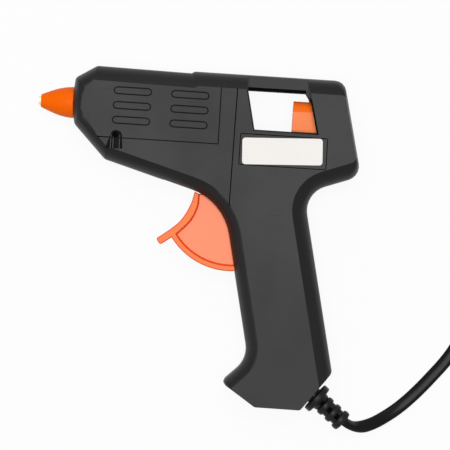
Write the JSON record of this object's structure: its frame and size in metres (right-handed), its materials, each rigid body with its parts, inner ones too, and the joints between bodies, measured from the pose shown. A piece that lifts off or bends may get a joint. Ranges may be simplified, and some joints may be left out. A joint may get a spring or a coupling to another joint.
{
  "type": "hot glue applicator",
  "caption": "Pistol-shaped hot glue applicator with a silicone nozzle sleeve, a finger trigger, a sliding stick carriage in a feed window and a coiled flat mains cord.",
  "frame": {"origin": "bottom centre of the box round the body and nozzle, lying on its right side, without the cord", "axes": "+X from the nozzle to the stick inlet, +Y from the handle's foot to the barrel's top, +Z out of the left side, which faces up"},
  "size_m": [0.301, 0.1471, 0.026],
  "materials": {
    "case_plastic": "fine spark-eroded grain",
    "rating_plate": "satin film, left bare",
    "nozzle_silicone": "moulded silicone",
    "nozzle_metal": "turned",
    "chamber_metal": "die cast",
    "heater_ceramic": "fired, unglazed",
    "contact_metal": "rolled sheet",
    "insulation_film": "amber polyimide film",
    "clip_steel": "spring steel sheet",
    "guide_silicone": "moulded silicone",
    "orange_plastic": "moulded, light satin",
    "pin_steel": "ground",
    "spring_steel": "drawn wire",
    "screw_steel": "zinc plated",
    "clamp_plastic": "moulded",
    "cord_jacket": "smooth flexible jacket",
    "lead_live": "sleeved lead",
    "lead_neutral": "sleeved lead",
    "crimp_metal": "tinned",
    "plug_plastic": "moulded",
    "plug_pin": "nickel plated"
  },
  "bodies": {
    "body": {"left_shell": "case_plastic", "right_shell": "case_plastic", "rating_plate": "rating_plate", "nozzle_tip": "nozzle_metal", "nozzle_sleeve": "nozzle_silicone", "melt_chamber": "chamber_metal", "heater_tablet": "heater_ceramic", "contact_plate_upper": "contact_metal", "contact_plate_lower": "contact_metal", "insulation_film": "insulation_film", "heater_clip": "clip_steel", "stick_guide": "guide_silicone", "trigger_pin": "pin_steel", "return_spring": "spring_steel", "case_screw_nose_top": "screw_steel", "case_screw_belly": "screw_steel", "case_screw_rear_top": "screw_steel", "case_screw_rear_low": "screw_steel", "case_screw_handle_foot": "screw_steel", "case_screw_handle": "screw_steel", "cord_clamp": "clamp_plastic", "clamp_screw_rear": "screw_steel", "clamp_screw_front": "screw_steel", "cord_in_handle": "cord_jacket", "lead_live": "lead_live", "lead_neutral": "lead_neutral", "crimp_live": "crimp_metal", "crimp_neutral": "crimp_metal", "strain_relief": "cord_jacket", "cord_lead": "cord_jacket", "cord_coil": "cord_jacket", "cord_end": "cord_jacket", "cord_tie": "plug_plastic", "plug_body": "plug_plastic", "plug_pin_left": "plug_pin", "plug_pin_right": "plug_pin"},
    "trigger": {"trigger": "orange_plastic"},
    "carriage": {"feed_carriage": "orange_plastic", "grip_plate": "clip_steel"}
  },
  "joints": [
    {"name": "trigger_pull", "type": "hinge", "parent": "body", "child": "trigger", "pos_m": [0.0158, 0.01664, 0.013], "axis": [0, 0, 1], "range_deg": [0, 18], "stiffness_Nm_per_rad": 0.1, "springref_deg": -5.73, "deforming": ["return_spring"]},
    {"name": "carriage_slide", "type": "slide", "parent": "body", "child": "carriage", "axis": [-1, 0, 0], "range_m": [0, 0.0126]}
  ],
  "couplings": [
    {"joint": "carriage_slide", "follows": "trigger_pull", "m_per_rad": 0.04}
  ]
}
